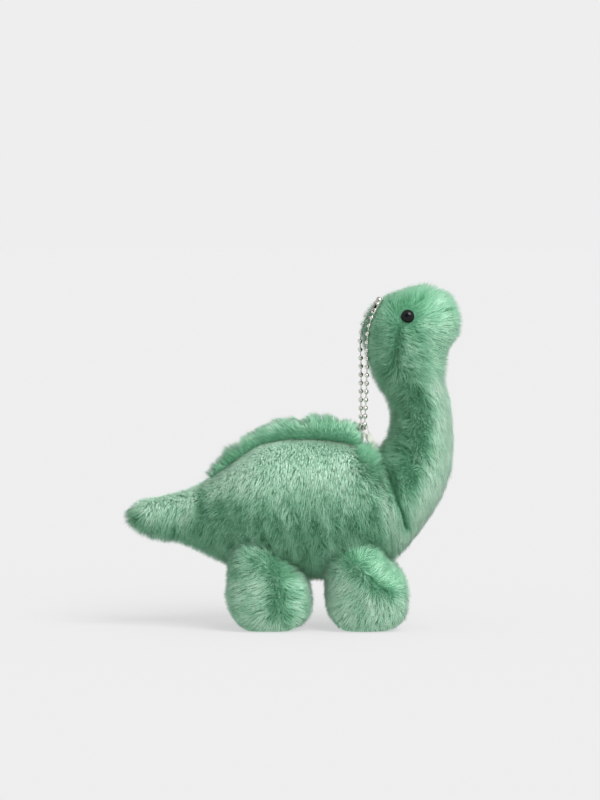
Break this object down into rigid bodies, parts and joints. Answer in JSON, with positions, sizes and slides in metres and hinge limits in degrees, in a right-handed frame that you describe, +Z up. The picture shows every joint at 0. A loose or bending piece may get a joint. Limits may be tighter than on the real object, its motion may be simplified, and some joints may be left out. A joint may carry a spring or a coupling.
{
  "type": "plush keychain",
  "caption": "Soft plush keychain: a long-necked four-legged dinosaur in fluffy fur with a scalloped back crest, carried on a metal ball chain through a tape loop.",
  "frame": {"origin": "on the floor under the middle of the object's bounding box", "axes": "+X towards the face, +Y to the animal's left, +Z up"},
  "size_m": [0.1322, 0.0468, 0.1375],
  "materials": {
    "fur": "long soft mint-green faux fur, about 6 mm pile",
    "fur_shade": "the same faux fur where it is pressed short, under the belly and feet",
    "stuffing": "off-white polyester fibre filling",
    "eye": "polished black",
    "washer": "moulded, natural white",
    "thread": "dark green embroidery thread",
    "tape": "thin off-white woven tape",
    "steel": "nickel-plated, bright, lightly worn"
  },
  "bodies": {
    "torso": {"body_panel_left": "fur", "body_panel_right": "fur", "belly_gusset": "fur_shade", "body_stuffing": "stuffing", "chest_stuffing": "stuffing", "crest_layer_left": "fur", "crest_layer_right": "fur"},
    "neck_head": {"neck_panel_left": "fur", "neck_panel_right": "fur", "neck_head_stuffing": "stuffing", "eye_left": "eye", "eye_right": "eye", "eye_washer_left": "washer", "eye_washer_right": "washer", "mouth_stitch": "thread"},
    "leg_hind_left": {"leg_outer_panel_hind_left": "fur", "leg_inner_panel_hind_left": "fur", "leg_stuffing_hind_left": "stuffing", "sole_hind_left": "fur_shade"},
    "leg_hind_right": {"leg_outer_panel_hind_right": "fur", "leg_inner_panel_hind_right": "fur", "leg_stuffing_hind_right": "stuffing", "sole_hind_right": "fur_shade"},
    "leg_front_left": {"leg_outer_panel_front_left": "fur", "leg_inner_panel_front_left": "fur", "leg_stuffing_front_left": "stuffing", "sole_front_left": "fur_shade"},
    "leg_front_right": {"leg_outer_panel_front_right": "fur", "leg_inner_panel_front_right": "fur", "leg_stuffing_front_right": "stuffing", "sole_front_right": "fur_shade"},
    "hang_loop": {"hang_loop": "tape"},
    "chain_lower": {"chain_lower": "steel"},
    "chain_middle": {"chain_middle_near": "steel", "chain_middle_far": "steel"},
    "chain_upper": {"chain_upper_near": "steel", "chain_upper_far": "steel"},
    "clasp": {"clasp": "steel"},
    "chain_end": {"chain_end": "steel"}
  },
  "joints": [
    {"name": "neck_flex", "type": "hinge", "parent": "torso", "child": "neck_head", "pos_m": [0.0532, 0, 0.079], "axis": [0, 1, 0], "range_deg": [0, 12], "stiffness_Nm_per_rad": 0.08, "deforming": ["neck_panel_left", "neck_panel_right"]},
    {"name": "leg_flex_hind_left", "type": "hinge", "parent": "torso", "child": "leg_hind_left", "pos_m": [-0.014, 0.0136, 0.027], "axis": [0, 1, 0], "range_deg": [-4, 5], "stiffness_Nm_per_rad": 0.06},
    {"name": "leg_flex_hind_right", "type": "hinge", "parent": "torso", "child": "leg_hind_right", "pos_m": [-0.014, -0.0136, 0.027], "axis": [0, 1, 0], "range_deg": [-4, 5], "stiffness_Nm_per_rad": 0.06},
    {"name": "leg_flex_front_left", "type": "hinge", "parent": "torso", "child": "leg_front_left", "pos_m": [0.0258, 0.0136, 0.027], "axis": [0, 1, 0], "range_deg": [-4, 5], "stiffness_Nm_per_rad": 0.06},
    {"name": "leg_flex_front_right", "type": "hinge", "parent": "torso", "child": "leg_front_right", "pos_m": [0.0258, -0.0136, 0.027], "axis": [0, 1, 0], "range_deg": [-4, 5], "stiffness_Nm_per_rad": 0.06},
    {"name": "loop_flex", "type": "hinge", "parent": "torso", "child": "hang_loop", "pos_m": [0.0354, 0, 0.0708], "axis": [0, -1, 0], "range_deg": [0, 5], "stiffness_Nm_per_rad": 0.003},
    {"name": "chain_swing", "type": "hinge", "parent": "hang_loop", "child": "chain_lower", "pos_m": [0.0293, 0, 0.082], "axis": [0, -1, 0], "range_deg": [0, 55]},
    {"name": "chain_fold_low", "type": "hinge", "parent": "chain_lower", "child": "chain_middle", "pos_m": [0.02812, 0, 0.09841], "axis": [0, -1, 0], "range_deg": [0, 25]},
    {"name": "chain_fold_high", "type": "hinge", "parent": "chain_middle", "child": "chain_upper", "pos_m": [0.02771, 0, 0.11542], "axis": [0, -1, 0], "range_deg": [0, 25]},
    {"name": "clasp_spin", "type": "hinge", "parent": "chain_upper", "child": "clasp", "pos_m": [0.0326, -0.006, 0.1281], "axis": [0.4229, 0, 0.9062], "continuous": true},
    {"name": "chain_unhook", "type": "hinge", "parent": "chain_upper", "child": "chain_end", "pos_m": [0.03265, 0.003, 0.13138], "axis": [-0.8957, -0.149, 0.4189], "range_deg": [0, 60]}
  ]
}
